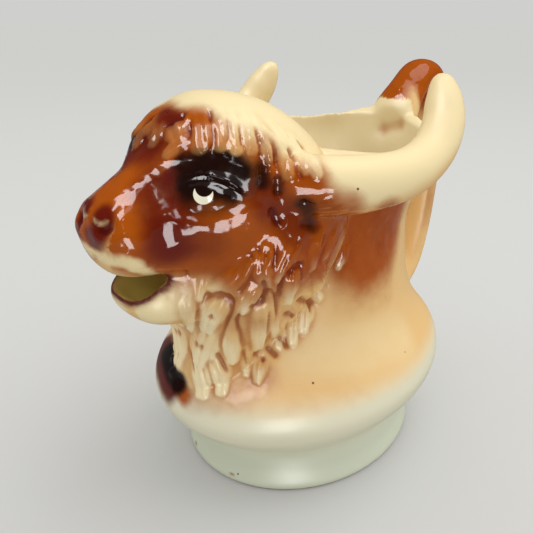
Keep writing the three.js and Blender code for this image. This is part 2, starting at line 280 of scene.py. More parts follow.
def tube_rings(rows, places, inset, sides):
    top_x, top_z, low_x, low_z, half = rows_at(rows, places).T[:, :, None]
    angle = ring_angles(sides)[None]
    top = np.stack([top_x + MUZZLE_TIP, 0 * top_x, top_z + CROWN_HEIGHT], -1)
    low = np.stack([low_x + MUZZLE_TIP, 0 * low_x, low_z + CROWN_HEIGHT], -1)
    up = (top - low) / 2
    length = np.linalg.norm(up, axis=-1, keepdims=True)
    up = up * np.maximum(length - inset, 0.5) / length
    side = np.maximum(half - inset, 0.5) * squared(np.sin(angle), 0.9)
    rings = (top + low) / 2 + up * squared(np.cos(angle), 0.9)[..., None]
    rings[..., 1] += side
    return rings


def mane_rings(places, inset, sides):
    front, back, half = rows_at(MANE, places).T[:, :, None]
    angle = ring_angles(sides)[None]
    x = (front + back) / 2 + ((back - front) / 2 - inset) * squared(np.cos(angle), 0.85)
    y = (half - inset) * squared(np.sin(angle), 0.85)
    z = MANE_LOW + MANE_HEIGHT * np.asarray(places)[:, None] + 0 * x
    return np.stack([x, y, z], -1)


# Horns and handle

# Each row of a horn, from its root: x, share of the reach, z, share of the thickness. Each row of
# the handle, from the rim: x, z, share of the width, share of the thickness.
HORN_REACH, HORN_HALF = 32.8, 6.2
HANDLE_HALF_WIDTH, HANDLE_HALF_THICKNESS = 6, 4
HORN = [[-33, 0.27, 85, 0.85], [-27, 0.6, 84.6, 0.98], [-17.5, 0.83, 83.9, 1],
        [-6, 0.982, 84.9, 0.88], [3.5, 1, 88, 0.81], [9.2, 0.97, 93, 0.77],
        [12, 0.909, 98, 0.68], [13.2, 0.86, 101.6, 0.48],
        [13.6, 0.841, 103.2, 0.32], [13.7, 0.835, 104, 0.13]]
HANDLE = [[33, 74, 1.5, 0.25], [35.6, 83, 1.45, 0.7], [39.2, 90.5, 1.28, 1], [44.6, 96, 1.05, 1.04],
          [51.2, 100.4, 1, 1.02], [56.6, 96.6, 1, 1], [58.8, 87, 1, 1], [59.4, 74, 1, 1],
          [59, 60, 1, 1], [57.4, 48, 1.03, 1.05], [53, 37.5, 1.13, 1.15], [44, 31, 1.33, 1.35]]


def swept_rings(rows, count, sides, side):
    places = np.linspace(0, 1, count + 1)
    path = rows_at(rows, places)
    ahead, behind = rows_at(rows, places + 0.01), rows_at(rows, places - 0.01)
    tangent = ahead[:, :3] - behind[:, :3]
    tangent /= np.linalg.norm(tangent, axis=1, keepdims=True)
    side = np.asarray(side, float)
    across = side - tangent * (tangent @ side)[:, None]
    across /= np.linalg.norm(across, axis=1, keepdims=True)
    out = np.cross(tangent, across)
    angle = ring_angles(sides)[None, :, None]
    return (path[:, None, :3] + across[:, None] * path[:, None, 3:4] * np.cos(angle)
            + out[:, None] * path[:, None, 4:5] * np.sin(angle))


# Carving. A stroke is drawn as the camera sees it, in picture points, and is laid on the casting.

def stroke_ray(x, y, lens):
    """The direction from the camera through a picture point."""
    right = EYE_BACK.to_track_quat("Z", "Y") @ Vector((1, 0, 0))
    up = EYE_BACK.to_track_quat("Z", "Y") @ Vector((0, 1, 0))
    scale = lens / SENSOR * PICTURE
    half = PICTURE / 2
    return (right * ((x - half) / scale) + up * ((half - y) / scale) - EYE_BACK).normalized()


# Each stroke: kind, width and height in millimetres, spots.
STROKES = [
    # forms of the head
    ("hollow", 15, -0.6, [(183, 196), (205, 200), (232, 200)]),
    ("swell", 9, 0.7, [(172, 172), (195, 163), (225, 163), (252, 172)]),
    ("hollow", 9, -0.7, [(160, 190), (150, 215), (165, 235)]),
    ("swell", 9, 0.7, [(185, 232), (215, 228), (245, 218)]),
    ("swell", 5, 0.45, [(96, 236), (110, 243), (122, 234), (119, 222)]),
    ("hollow", 4, -0.6, [(102, 230), (108, 226)]),
    ("furrow", 2, -0.5, [(95, 231), (104, 232), (112, 228)]),
    ("furrow", 2.2, -0.35, [(158, 283), (166, 290), (170, 300)]),
    # fringe
    ("fringe", 7.4, 0.8, [(176, 112), (176, 128), (178, 140)]),
    ("fringe", 7.0, 0.9, [(198, 112), (200, 130), (200, 148)]),
    ("fringe", 6.0, 0.8, [(216, 112), (220, 130), (221, 146)]),
    ("fringe", 5.6, 0.9, [(232, 112), (234, 132), (236, 150)]),
    ("fringe", 5.6, 0.9, [(244, 112), (250, 132), (252, 149)]),
    ("fringe", 4.4, 1.2, [(256, 122), (264, 142), (268, 158)]),
    ("fringe", 5.2, 1.0, [(270, 124), (283, 148), (288, 174)]),
    ("fringe", 4.8, 0.9, [(284, 132), (296, 150), (304, 170)]),
    ("fringe", 4.6, 0.8, [(298, 144), (308, 160), (317, 174)]),
    ("fringe", 6.4, 0.8, [(160, 117), (158, 130), (154, 142)]),
    ("fringe", 5.6, 0.7, [(147, 122), (142, 134), (138, 145)]),
    ("furrow", 1.3, -0.8, [(190, 124), (190, 131), (190, 140)]),
    ("furrow", 1.4, -0.8, [(208, 110), (210, 117), (211, 124)]),
    ("furrow", 1.3, -0.6, [(183, 112), (183, 121)]),
    ("furrow", 1.2, -0.7, [(214, 126), (215, 138), (215, 150)]),
    ("furrow", 1.0, -0.6, [(227, 120), (228, 134), (227, 148)]),
    ("furrow", 1.0, -0.7, [(239, 126), (240, 138), (240, 149)]),
    ("furrow", 1.2, -0.9, [(255, 130), (258, 142), (260, 156)]),
    ("furrow", 1.2, -0.9, [(268, 138), (274, 152), (276, 166)]),
    ("furrow", 1.6, -1.0, [(285, 149), (289, 154), (292, 160)]),
    ("furrow", 1.2, -0.8, [(296, 140), (300, 146), (304, 150)]),
    ("furrow", 1.2, -0.8, [(300, 170), (303, 178)]),
    ("hollow", 3.2, -1.1, [(264, 162), (264, 172), (264, 184)]),
    ("hollow", 2.6, -1.0, [(278, 180), (278, 192)]),
    ("hollow", 2.6, -0.9, [(273, 212), (277, 222)]),
    ("hollow", 3.0, -1.0, [(303, 205), (310, 208)]),
    ("hollow", 3.0, -1.0, [(305, 224), (318, 226)]),
    # eye
    ("swell", 5.6, 0.5, [(202, 192), (206, 194)]),
    ("ridge", 1.7, 0.45, [(182, 186), (195, 181), (210, 181), (226, 186), (240, 195)]),
    ("ridge", 1.6, 0.2, [(186, 200), (198, 208), (212, 207), (226, 202), (238, 198)]),
    ("furrow", 1.8, -0.3, [(180, 181), (196, 176), (214, 176), (232, 182), (246, 192)]),
    # mane, behind the cheek
    ("lock", 4.6, 1.0, [(326, 232), (316, 248), (312, 266)]),
    ("lock", 4.4, 1.0, [(340, 226), (332, 240), (324, 256)]),
    ("lock", 4.0, 0.8, [(300, 240), (288, 258), (278, 280)]),
    ("lock", 4.0, 0.9, [(344, 240), (342, 254), (338, 267)]),
    ("lock", 5.0, 1.3, [(318, 262), (320, 278), (318, 297)]),
    ("lock", 5.4, 1.3, [(300, 262), (292, 280), (288, 300)]),
    ("lock", 4.6, 1.3, [(308, 296), (305, 312), (303, 330)]),
    ("lock", 4.6, 1.3, [(290, 304), (293, 322), (292, 342)]),
    ("lock", 5.0, 1.1, [(264, 250), (262, 268), (266, 286)]),
    ("lock", 5.0, 1.3, [(262, 284), (252, 296), (243, 310)]),
    ("lock", 6.0, 1.4, [(264, 302), (262, 322), (258, 346)]),
    ("lock", 3.6, 1.0, [(272, 304), (273, 320), (274, 335)]),
    ("lock", 4.4, 0.9, [(278, 318), (280, 332), (278, 346)]),
    ("lock", 5.4, 1.3, [(236, 318), (232, 338), (233, 360)]),
    ("lock", 4.4, 1.2, [(262, 352), (260, 366), (258, 380)]),
    ("lock", 3.6, 1.0, [(246, 348), (247, 360), (246, 374)]),
    ("lock", 6.6, 1.4, [(222, 296), (214, 308), (206, 328)]),
    ("lock", 6.8, 1.4, [(214, 330), (206, 346), (200, 362)]),
    ("lock", 6.0, 1.3, [(214, 356), (220, 372), (222, 390)]),
    ("lock", 5.6, 1.2, [(200, 356), (202, 374), (204, 394)]),
    ("lock", 4.6, 0.9, [(198, 330), (196, 350), (197, 374)]),
    ("lock", 4.0, 1.0, [(190, 296), (188, 310), (190, 328)]),
    ("lock", 4.4, 0.8, [(196, 362), (198, 378), (200, 394)]),
    ("lock", 5.0, 0.9, [(244, 268), (230, 282), (212, 290)]),
    ("lock", 3.6, 0.8, [(208, 272), (204, 284), (200, 298)]),
    ("ridge", 1.3, 0.85, [(226, 287), (240, 282), (247, 272), (252, 262), (256, 256)]),
    ("ridge", 1.3, 0.85, [(236, 291), (241, 300), (238, 314)]),
    ("ridge", 1.3, 0.85, [(232, 292), (236, 304), (232, 318), (225, 332)]),
    ("ridge", 1.3, 0.85, [(274, 250), (270, 262), (266, 276)]),
    ("ridge", 1.3, 0.85, [(302, 234), (298, 246), (288, 258), (280, 272)]),
    ("ridge", 1.3, 0.85, [(322, 232), (317, 242), (314, 256)]),
    ("furrow", 0.9, -0.8, [(300, 237), (294, 249), (285, 261), (278, 275)]),
    ("furrow", 0.9, -0.8, [(325, 233), (320, 244), (316, 256)]),
    ("furrow", 1.5, -0.9, [(275, 247), (275, 257), (270, 270)]),
    ("furrow", 1.0, -0.6, [(266, 251), (264, 262), (261, 271)]),
    ("furrow", 0.9, -0.6, [(250, 254), (255, 262), (252, 271)]),
    ("furrow", 0.9, -0.5, [(257, 246), (260, 255)]),
    ("hollow", 3.6, -0.8, [(210, 296), (220, 295), (230, 300)]),
    ("furrow", 1.3, -1.1, [(233, 299), (233, 311), (228, 322), (223, 334), (220, 346)]),
    ("furrow", 0.9, -0.8, [(241, 304), (239, 314), (236, 322)]),
    ("furrow", 1.8, -0.9, [(236, 318), (239, 330), (242, 345)]),
    ("hollow", 2.6, -1.1, [(264, 283), (266, 292), (262, 300)]),
    ("hollow", 2.4, -0.9, [(253, 306), (262, 303)]),
    ("furrow", 1.3, -1.0, [(272, 290), (276, 300), (276, 311), (274, 322)]),
    ("furrow", 0.9, -0.7, [(269, 310), (267, 322), (266, 332)]),
    ("furrow", 2.2, -0.9, [(284, 276), (281, 288), (279, 299)]),
    ("hollow", 2.4, -1.1, [(290, 273), (298, 266)]),
    ("furrow", 1.1, -0.9, [(302, 262), (301, 273), (298, 286)]),
    ("furrow", 1.2, -0.8, [(322, 273), (327, 286)]),
    ("hollow", 2.4, -1.0, [(300, 300), (309, 303)]),
    ("furrow", 1.1, -0.9, [(308, 303), (310, 313)]),
    ("hollow", 2.2, -0.9, [(287, 313), (293, 316)]),
    ("furrow", 1.1, -0.8, [(292, 316), (297, 330)]),
    ("hollow", 2.2, -0.7, [(279, 338), (286, 345)]),
    ("hollow", 2.2, -0.7, [(268, 349), (275, 355)]),
    ("hollow", 2.2, -0.9, [(256, 353), (263, 360)]),
    ("furrow", 1.2, -0.8, [(243, 350), (246, 364)]),
    ("furrow", 1.8, -1.0, [(216, 352), (222, 362), (228, 372)]),
    ("furrow", 1.3, -0.8, [(190, 348), (193, 360), (196, 374)]),
    ("furrow", 1.2, -0.8, [(198, 308), (197, 318)]),
    ("hollow", 2.6, -0.6, [(198, 344), (202, 345)]),
    ("hollow", 2.4, -0.5, [(210, 314), (214, 316)]),
    ("furrow", 1.0, -0.6, [(206, 294), (202, 304)]),
    ("furrow", 1.0, -0.5, [(185, 270), (188, 276)]),
    # grooves along the root of the horn
    ("furrow", 0.8, -0.35, [(300, 206), (318, 205), (338, 200)]),
    ("furrow", 0.7, -0.3, [(304, 212), (326, 210), (350, 203)]),
    ("furrow", 0.8, -0.35, [(308, 218), (334, 214), (360, 205)]),
    ("furrow", 0.7, -0.25, [(304, 200), (322, 198), (340, 194)]),
    # potter's thumb mark where the handle meets the inside
    ("hollow", 7, -1.0, [(384, 128), (398, 124)]),
    # nick in the foot
    ("hollow", 1.0, -0.5, [(230, 474), (233, 475)]),
]

# A narrow cut holds a pool of dark glaze, full at this depth; a crest is this far over its
# surroundings. A lock near the middle is cut on one side only.
POOL_WIDTH, POOL_DEPTH = 4, 0.8
CREST = 0.0004
MIDDLE = 0.0045

# Each spray: glaze, strength, radius in millimetres, spots. Sprays named _near and _far lie on one
# side only: the rust ones where the potter's airbrush was less even, the cream one over the middle
# of the body as a painted highlight, and the maroon and umber ones as painted shade on the belly
# beyond the beard.
SPRAYS = [
    ("cream", 1.0, 9, [(176, 100), (205, 94), (240, 100), (272, 116), (300, 134)]),
    ("cream", 0.75, 5, [(218, 116), (240, 122), (264, 130)]),
    ("cream", 0.5, 4, [(276, 136), (298, 150)]),
    ("cream", 0.9, 5, [(326, 166), (350, 170), (400, 160), (440, 125), (440, 90)]),
    ("cream", 1.0, 7, [(350, 182), (400, 165), (440, 125), (440, 90)]),
    ("cream", 1.0, 8, [(250, 90), (265, 75)]),
    ("cream", 1.0, 5, [(128, 310), (150, 314), (172, 308)]),
    ("cream", 0.8, 3.4, [(168, 288), (176, 300)]),
    ("rust", 1.0, 10, [(96, 205), (125, 175), (150, 160)]),
    ("rust", 1.0, 7, [(144, 130), (165, 134), (184, 140)]),
    ("rust", 0.6, 5, [(200, 150), (206, 142), (192, 122)]),
    ("rust", 0.6, 6, [(220, 152), (246, 154)]),
    ("rust", 0.55, 3.8, [(262, 150), (276, 166), (296, 170), (312, 176)]),
    ("rust", 1.0, 9, [(110, 232), (140, 243), (170, 250), (200, 240)]),
    ("rust", 1.0, 9, [(215, 215), (245, 225), (275, 208), (300, 222), (325, 240)]),
    ("rust", 0.75, 7, [(206, 250), (232, 256), (262, 256), (295, 256), (320, 250)]),
    ("rust", 0.5, 5, [(300, 190), (318, 200), (344, 206)]),
    ("rust", 0.5, 5, [(240, 292), (276, 290), (306, 282), (326, 268)]),
    ("rust", 0.4, 5, [(238, 322), (268, 322), (294, 310)]),
    ("rust", 0.3, 4, [(234, 366), (260, 352), (280, 340)]),
    ("rust", 0.35, 4, [(184, 270), (186, 292), (190, 306)]),
    ("rust", 1.0, 9, [(388, 212), (384, 240), (370, 258), (352, 250)]),
    ("rust", 0.8, 4, [(346, 222), (366, 216), (384, 208)]),
    ("rust", 0.35, 9, [(380, 282), (352, 284)]),
    ("rust_near", 0.36, 3.6, [(190, 402), (222, 401), (246, 392), (270, 376)]),
    ("rust", 1.0, 7, [(428, 70), (410, 80), (398, 96)]),
    ("rust", 0.45, 4, [(306, 208), (330, 212), (352, 208)]),
    ("rust", 0.4, 7, [(432, 190), (428, 214)]),
    ("maroon", 0.75, 6, [(156, 188), (164, 218), (166, 244)]),
    ("maroon", 0.5, 6, [(180, 236), (206, 240)]),
    ("maroon", 0.8, 5.4, [(150, 150), (168, 158), (180, 172)]),
    ("maroon", 1.0, 3.2, [(84, 209), (81, 224), (87, 236)]),
    ("maroon", 0.8, 3, [(166, 118), (178, 119)]),
    # Brown glaze on the belly beyond the beard, darkened with painted shade
    ("maroon_far", 1.0, 5, [(163, 346), (164, 366), (170, 386)]),
    ("umber_far", 1.0, 3.2, [(168, 350), (172, 367), (179, 384)]),
    ("rust_near", 0.8, 2.6, [(184, 396), (178, 386)]),
    ("maroon", 0.6, 5, [(262, 196), (276, 212), (300, 230)]),
    ("maroon", 0.35, 7, [(384, 214), (384, 236)]),
    ("umber", 0.3, 2.4, [(300, 203), (316, 206), (334, 206)]),
    ("rust_near", 0.2, 6, [(250, 400), (300, 396), (350, 386)]),
    # Painted highlight on the near side of the body
    ("cream_near", 0.45, 9, [(304, 350), (350, 352), (398, 336)]),
    # Painted shade under the brow ridge
    ("umber", 0.85, 2.8, [(187, 165), (206, 161), (226, 163), (240, 169)]),
    ("umber", 0.45, 5, [(190, 173), (214, 172), (236, 178)]),
    ("umber", 0.75, 1.9, [(262, 168), (264, 182)]),
    ("umber", 1.0, 2.7, [(190, 184), (207, 184), (232, 187)]),
    ("umber", 0.5, 3, [(186, 198), (206, 205), (226, 200)]),
    ("umber", 0.6, 1.4, [(278, 182), (278, 190)]),
    ("umber", 0.7, 2, [(305, 206), (314, 226)]),
    ("lip", 0.9, 1.9, [(98, 257), (108, 260), (122, 262), (136, 266)]),
    ("lip", 0.9, 1.5, [(136, 269), (150, 274), (162, 281)]),
    ("lip", 0.55, 0.8, [(94, 220), (98, 224)]),
    ("lip", 0.5, 0.8, [(102, 224), (106, 222)]),
    ("pale", 1.0, 5.4, [(208, 338), (208, 360), (210, 382)]),
    ("pale", 0.7, 4.4, [(206, 312), (196, 340), (198, 376)]),
    ("pale", 0.3, 4, [(234, 340), (260, 326), (290, 326), (306, 312)]),
]
FULL, SPENT = 0.3, 1.5
GLAZES = ("cream", "pale", "rust", "maroon", "umber", "lip")

# Where whole areas are glazed, in metres: the heights and lengths between which a glaze sets in
INSIDE, SKIN_DEPTH, HEAD_BACK = (0.0055, 0.094), 0.0014, -0.028
LIP_LENGTH, LIP_SHARE = (-0.012, 0.036), 0.12
HANDLE_TOP = ((0.084, 0.094), (0.0385, 0.0425))
CROWN, CROWN_BACK = ((0.0925, 0.0975), (-0.040, -0.032)), 0.012
MOUTH_BACK, MOUTH_HALF, MOUTH_LOW, MOUTH_HIGH = -0.036, 0.0105, 0.055, 0.082
MOUTH_DEPTH, LOWER_LIP, LIP_CORNER = 0.0006, (0.0722, 0.0702), -0.0495

# The colours that darken the glaze: painted shade in a hollow between locks, and a narrow cut's
# pool of dark glaze
HOLLOW_SHADE, POOL_TINT = (0.62, 0.30, 0.10), (0.52, 0.20, 0.05)

# Small marks on the glaze, as picture points with their size in millimetres; the eyes' whites and
# pupils are as wide as these picture points.
SPECKS = [((313, 383), 0.4), ((358, 189), 0.35), ((118, 245), 0.35), ((124, 238), 0.3),
          ((113, 237), 0.3), ((238, 474), 0.35), ((405, 352), 0.25)]
EYES = [("eye", (203, 194.5), 10.3), ("pupil", (204, 187.5), 9.4)]

# Places found on the casting while it is made, for the steps after
FOUND = {}


class Skin:
    """The casting's surface while it is carved."""

    def __init__(self, piece, lens):
        self.piece, self.lens = piece, lens
        self.points, self.normals = points_of(piece), normals_of(piece)
        self.tree = tree_of(piece)
        edges = np.empty(len(piece.data.edges) * 2, np.int32)
        piece.data.edges.foreach_get("vertices", edges)
        self.edges = edges.reshape(-1, 2)
        count = len(self.points)
        self.valence = np.bincount(self.edges.ravel(), minlength=count).astype(float)

    def on(self, x, y):
        """The place on the casting under a picture point."""
        hit = self.tree.ray_cast(EYE_POINT, stroke_ray(x, y, self.lens))[0]
        if hit is None:
            raise RuntimeError("no casting under picture point %g, %g" % (x, y))
        return np.array(hit)

    def path(self, spots, step=0.0004):
        """The spots laid on the skin and joined by a smooth line."""
        knots = np.array([self.on(x, y) for x, y in spots])
        if len(knots) == 1:
            return knots
        length = np.linalg.norm(np.diff(knots, axis=0), axis=1).sum()
        return rows_at(knots, np.linspace(0, 1, max(int(length / step), 2) + 1))

    def near(self, line, reach, sides=(1, -1)):
        """Points within reach of a line: which, how far, how far along it and how far beside it."""
        low, high = line.min(0) - reach, line.max(0) + reach
        ahead = np.roll(line, -1, 0) - np.roll(line, 1, 0)
        if len(line) > 2:
            ahead[0], ahead[-1] = line[1] - line[0], line[-1] - line[-2]
        beside = [np.cross(step, self.tree.find_nearest(Vector(spot))[1])
                  for step, spot in zip(ahead, line)]
        found = []
        for flip in sides:
            p = self.points * (1, flip, 1)
            which = np.nonzero(((p > low) & (p < high)).all(1))[0]
            best, place = np.full(len(which), 1e9), np.zeros(len(which), int)
            for k, spot in enumerate(line):
                d = np.linalg.norm(p[which] - spot, axis=1)
                closer = d < best
                best[closer], place[closer] = d[closer], k
            side = np.array(beside)[place]
            side /= np.linalg.norm(side, axis=1, keepdims=True) + 1e-12
            offset = ((p[which] - line[place]) * side).sum(1)
            inside = best < reach
            found.append((which[inside], best[inside], place[inside] / max(len(line) - 1, 1),
                          offset[inside]))
        return tuple(np.concatenate([f[k] for f in found]) for k in range(4))

    def stroke(self, kind, width, height, spots):
        """How far each point under a stroke moves, and how near its middle and its tip it is."""
        line = self.path(spots)
        hair = kind in ("lock", "fringe")
        sides = (1,) if abs(line[:, 1]).max() < MIDDLE else (1, -1)
        which, far, along, beside = self.near(line, width * MM * (0.55 if hair else 1.0), sides)
        d = far / (width * MM / 2)
        if hair:
            d = d / (1 - 0.4 * smooth_step(0.55, 1, along) - 0.25 * smooth_step(0.4, 0, along))
            shape = np.clip(1 - d * d, 0, 1) ** 0.75 * (0.15 + 0.85 * smooth_step(0, 0.5, along))
            strands = np.cos(beside / (width * MM) * 2 * pi * 3.1 + along * 2.5 + spots[0][0])
            return which, shape * height * MM * (0.72 + 0.28 * strands), shape, along
        if kind in ("furrow", "ridge"):
            ends = np.sin(pi * np.clip(along, 0.03, 0.97)) ** 0.5
            shape = np.exp(-2 * d * d) * ends
        else:
            shape = np.exp(-1.5 * d * d)
        return which, shape * height * MM, shape, along

    def neighbours(self, values):
        """The mean of each point's neighbours."""
        a, b = self.edges.T
        count = len(values)
        sums = [np.bincount(a, column[b], count) + np.bincount(b, column[a], count)
                for column in values.reshape(count, -1).T]
        return (np.stack(sums, -1) / self.valence[:, None]).reshape(values.shape)

    def relax(self, passes, share, weight=None):
        """Draws each point a share of the way to the mean of its neighbours."""
        weight = share if weight is None else (share * weight)[:, None]
        for _ in range(passes):
            self.points += (self.neighbours(self.points) - self.points) * weight

    def settle(self):
        """Puts the points on the casting and measures its normals again."""
        move_points(self.piece, self.points)
        self.normals = normals_of(self.piece)


class PITCHER_OT_casting(bpy.types.Operator):
    """Makes the vessel, head, horns and handle, and joins them as one hollow casting"""
    bl_idname = "pitcher.casting"
    bl_label = "Casting"
    bl_options = {"REGISTER", "UNDO"}

    def execute(self, context):
        shape = context.scene.pitcher_shape
        heights = np.concatenate([[0], np.linspace(FOOT[0], RIM_HEIGHT, 130)])
        casting = skinned("pitcher_casting", body_rings(OUTER, heights, 0, 160))
        added = [skinned("head", tube_rings(HEAD, np.linspace(0, 1, 90), 0, 112)),
                 skinned("jaw", tube_rings(JAW, np.linspace(0, 1, 40), 0, 64)),
                 skinned("mane", mane_rings(np.linspace(0, 1, 70), 0, 120)),
                 skinned("handle", swept_rings(
                     [[x, 0, z, w * HANDLE_HALF_WIDTH, t * HANDLE_HALF_THICKNESS]
                      for x, z, w, t in HANDLE], 110, 40, (0, 1, 0)))]
        for name, side in (("horn_near", -1), ("horn_far", 1)):
            rows = [[x, side * out * HORN_REACH, z, s * HORN_HALF, s * HORN_HALF]
                    for x, out, z, s in HORN]
            added.append(skinned(name, swept_rings(rows, 70, 40, (-0.5, 0, 1))))
        bell = [*between(BELLY, NECK, [[0.2, 0.25], [0.37, 0.63], [0.62, 0.9], [1, 1]]), RIM]
        hollow = [[FLOOR, -30.9, 30.9, 25.1], WAIST,
                  *between(WAIST, BELLY, [[0.5, 0.66], [1, 1]]), *bell,
                  [RIM_HEIGHT + 30, *RIM[1:]]]
        cut = [skinned("cavity", body_rings(hollow, np.concatenate(
                   [np.linspace(FLOOR, 88, 60), [100, RIM_HEIGHT + 30]]), WALL, 96)),
               skinned("head_hollow", tube_rings(HEAD, np.linspace(0.05, 0.9, 20), HEAD_WALL, 40)),
               skinned("mane_hollow", mane_rings(np.linspace(0.22, 0.95, 12), MANE_WALL, 40)),
               skinned("mouth_cut", tube_rings(MOUTH, np.linspace(0, 1, 24), 0, 48))]
        FOUND["mouth"] = tree_of(cut[-1])
        for work, tools in (("UNION", added), ("DIFFERENCE", cut)):
            for tool in tools:
                apply_modifier(casting, "BOOLEAN", operation=work, object=tool, solver="MANIFOLD")
                bpy.data.objects.remove(tool)
        if len(casting.data.polygons) < 1000:
            raise RuntimeError("the casting's forms didn't join")
        apply_modifier(casting, "REMESH", mode="VOXEL", voxel_size=cell(shape))
        select_only(casting)
        bpy.ops.object.shade_smooth()
        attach(casting, "root")
        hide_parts("pitcher")
        return {"FINISHED"}


class PITCHER_OT_carving(bpy.types.Operator):
    """Softens the inside corners and carves the hair, the eyes, the lips and the horns"""
    bl_idname = "pitcher.carving"
    bl_label = "Carving"
    bl_options = {"REGISTER", "UNDO"}

    def execute(self, context):
        shape = context.scene.pitcher_shape
        lens = context.scene.pitcher_studio.lens
        casting = bpy.data.objects["pitcher_casting"]
        skin = Skin(casting, lens)
        skin.relax(4, 0.5)
        skin.settle()
        inward = ((skin.neighbours(skin.points) - skin.points) * skin.normals).sum(1)
        corner = np.clip(skin.neighbours(inward) / INNER_CORNER, 0, 1)
        for _ in range(6):
            corner = np.maximum(corner, skin.neighbours(corner))
        skin.relax(shape.fillet, 0.5, corner)
        skin.relax(5, 0.5, np.clip(-skin.neighbours(inward) / OUTER_CORNER, 0, 1))
        skin.settle()
        self.carve(skin)
        self.spray(skin)
        count = len(casting.data.polygons) * 2
        if count > shape.limit:
            apply_modifier(casting, "DECIMATE", ratio=shape.limit / count)
        select_only(casting)
        bpy.ops.object.shade_smooth()
        return {"FINISHED"}

    def carve(self, skin):
        """Lays every stroke on the casting, and finds the crests and the hollows between locks."""
        count = len(skin.points)
        raised, cut, pool = np.zeros(count), np.zeros(count), np.zeros(count)
        skin.tips, skin.fringe = np.zeros(count), np.zeros(count)
        for kind, width, height, spots in STROKES:
            which, move, shape, along = skin.stroke(kind, width, height, spots)
            if kind in ("lock", "fringe"):
                raised[which] = np.maximum(raised[which], move)
                tip = shape * smooth_step(0.1 if kind == "fringe" else 0.3, 0.9, along)
                mask = skin.fringe if kind == "fringe" else skin.tips
                mask[which] = np.maximum(mask[which], tip)
            else:
                np.add.at(cut, which, move)
                if kind in ("furrow", "hollow") and width < POOL_WIDTH:
                    pool[which] = np.maximum(pool[which], shape * min(1, -height / POOL_DEPTH))
        skin.pool = pool
        before = skin.points.copy()
        skin.points += skin.normals * (raised + cut)[:, None]
        skin.relax(2, 0.4)
        height = ((skin.points - before) * skin.normals).sum(1)
        broad = height.copy()
        passes = int(24 * (FINE / cell(bpy.context.scene.pitcher_shape)) ** 2) + 2
        for _ in range(passes):
            broad = skin.neighbours(broad)
        skin.crest = np.clip((height - broad) / CREST, -1, 1)
        skin.settle()

    def cover(self, skin, masks):
        """Glazes the whole inside and the rim's lip, the top of the handle and the crown."""
        x, y, z = skin.points.T
        _, front, back, half = by_height(OUTER, z / MM).T * MM
        share = np.hypot((x - (front + back) / 2) / ((back - front) / 2), y / half)
        inner = (z > INSIDE[0]) & (z < INSIDE[1]) & (share < 1 - SKIN_DEPTH / half)
        turn = (x / MM - (RIM[1] + RIM[2]) / 2) / ((RIM[2] - RIM[1]) / 2)
        lean = RIM_LEAN * y / (RIM[3] * MM)
        lip = smooth_step(-2.6, -0.6, z / MM - RIM_HEIGHT - rim_climb(turn) - lean)
        lip = lip * (abs(share - 1) < LIP_SHARE) * (x > LIP_LENGTH[0]) * (x < LIP_LENGTH[1])
        masks["inner"] = np.maximum(inner & (x > HEAD_BACK), lip)
        handle = smooth_step(*HANDLE_TOP[0], z) * smooth_step(*HANDLE_TOP[1], x)
        masks["rust"] = np.maximum(masks["rust"], handle) * (1 - np.clip(masks["inner"], 0, 1))
        crown = smooth_step(*CROWN[0], z) * smooth_step(*CROWN[1], x) * (x < CROWN_BACK)
        masks["cream"] = np.maximum(masks["cream"], crown)

    def line_mouth(self, skin, masks):
        """Finds the inside of the mouth and the edge of the lower lip."""
        x, y, z = skin.points.T
        lips = np.zeros(len(x))
        near = (x < MOUTH_BACK) & (abs(y) < MOUTH_HALF) & (z > MOUTH_LOW) & (z < MOUTH_HIGH)
        for k in np.nonzero(near)[0]:
            lips[k] = FOUND["mouth"].find_nearest(Vector(skin.points[k]))[3] < MOUTH_DEPTH
        inside = skin.neighbours(lips)
        masks["mouth"] = inside
        for _ in range(6):
            inside = skin.neighbours(inside)
        edge = np.clip(5 * inside * (1 - inside), 0, 1)
        masks["rim"] = edge * smooth_step(*LOWER_LIP, z) * (x < LIP_CORNER)

    def spray(self, skin):
        """Airbrushes each glaze onto a mask of its own, and keeps the masks on the casting."""
        masks = {name: np.zeros(len(skin.points)) for name in GLAZES}
        for name, strength, radius, spots in SPRAYS:
            line = skin.path(spots, 0.001)
            sides = (1,) if name.endswith(("_near", "_far")) else (1, -1)
            which, far = skin.near(line, radius * SPENT * MM, sides)[:2]
            value = strength * (1 - smooth_step(FULL, SPENT, far / (radius * MM)))
            mask = masks[name.split("_")[0]]
            mask[which] = 1 - (1 - mask[which]) * (1 - value)
        masks["fringe"], masks["tip"] = skin.fringe, skin.tips
        masks["pool"], masks["crest"] = skin.pool, skin.crest
        self.cover(skin, masks)
        self.line_mouth(skin, masks)
        for name, spot, size in EYES:
            centre = Vector(skin.on(*spot))
            FOUND[name] = ((centre.x, abs(centre.y), centre.z),
                           size * (centre - EYE_POINT).length / (skin.lens / SENSOR * PICTURE))
        FOUND["specks"] = [(tuple(skin.on(*spot)), size * MM) for spot, size in SPECKS]
        data = skin.piece.data
        for name, values in masks.items():
            layer = data.attributes.new(name, "FLOAT", "POINT")
            layer.data.foreach_set("value", values.astype(np.float32))


